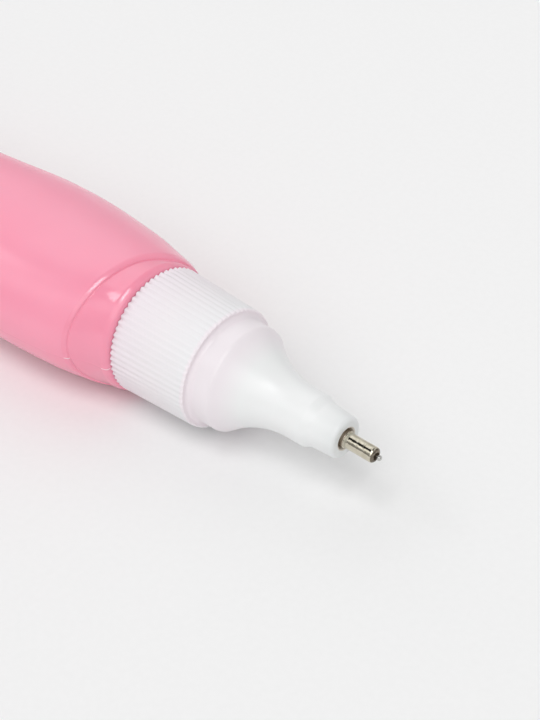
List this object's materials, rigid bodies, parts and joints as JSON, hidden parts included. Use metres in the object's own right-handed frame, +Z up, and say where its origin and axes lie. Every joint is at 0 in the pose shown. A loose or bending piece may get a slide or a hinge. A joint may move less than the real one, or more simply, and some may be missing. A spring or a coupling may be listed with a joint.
{
  "type": "correction pen",
  "caption": "Squeeze correction pen with an oval-bellied bottle, a ribbed screw collar, a bell-shaped nozzle and a metal tube tip with a spring-loaded needle valve.",
  "frame": {"origin": "middle of the pen's overall length, on the surface that it lies on, below the axis", "axes": "+X along the pen towards its tip, +Z up with the pen lying on its flat side, +Y across its width"},
  "size_m": [0.1094, 0.0237, 0.0167],
  "materials": {
    "bottle_plastic": "pink blow-moulded polyethylene, softly glossy",
    "collar_plastic": "white moulded polypropylene, satin",
    "nozzle_plastic": "white moulded polyethylene, softly glossy",
    "seal_rubber": "pale grey elastomer, matte",
    "tip_metal": "nickel-plated, turned and polished",
    "needle_steel": "ground stainless steel",
    "bush_brass": "turned brass",
    "spring_steel": "drawn stainless wire",
    "ball_steel": "polished steel"
  },
  "bodies": {
    "bottle": {"bottle": "bottle_plastic"},
    "seal": {"mouth_seal": "seal_rubber"},
    "front_unit": {"ribbed_collar": "collar_plastic", "nozzle": "nozzle_plastic", "tip_ferrule": "tip_metal", "spring_stop": "bush_brass", "valve_spring": "spring_steel"},
    "needle": {"valve_needle": "needle_steel", "needle_collar": "bush_brass"},
    "ball": {"mixing_ball": "ball_steel"}
  },
  "joints": [
    {"name": "front_lift", "type": "slide", "parent": "bottle", "child": "seal", "axis": [1, 0, 0], "range_m": [0, 0.0069]},
    {"name": "front_unscrew", "type": "hinge", "parent": "seal", "child": "front_unit", "pos_m": [0.027, 0, 0.00825], "axis": [1, 0, 0], "range_deg": [0, 990]},
    {"name": "needle_press", "type": "slide", "parent": "front_unit", "child": "needle", "axis": [-1, 0, 0], "range_m": [0, 0.0006], "stiffness_N_per_m": 250, "springref_m": -0.0006, "deforming": ["valve_spring"]},
    {"name": "ball_roll", "type": "slide", "parent": "bottle", "child": "ball", "axis": [1, 0, 0], "range_m": [-0.028, 0.012]}
  ],
  "couplings": [
    {"joint": "front_lift", "follows": "front_unscrew", "m_per_rad": 0.00039789}
  ]
}
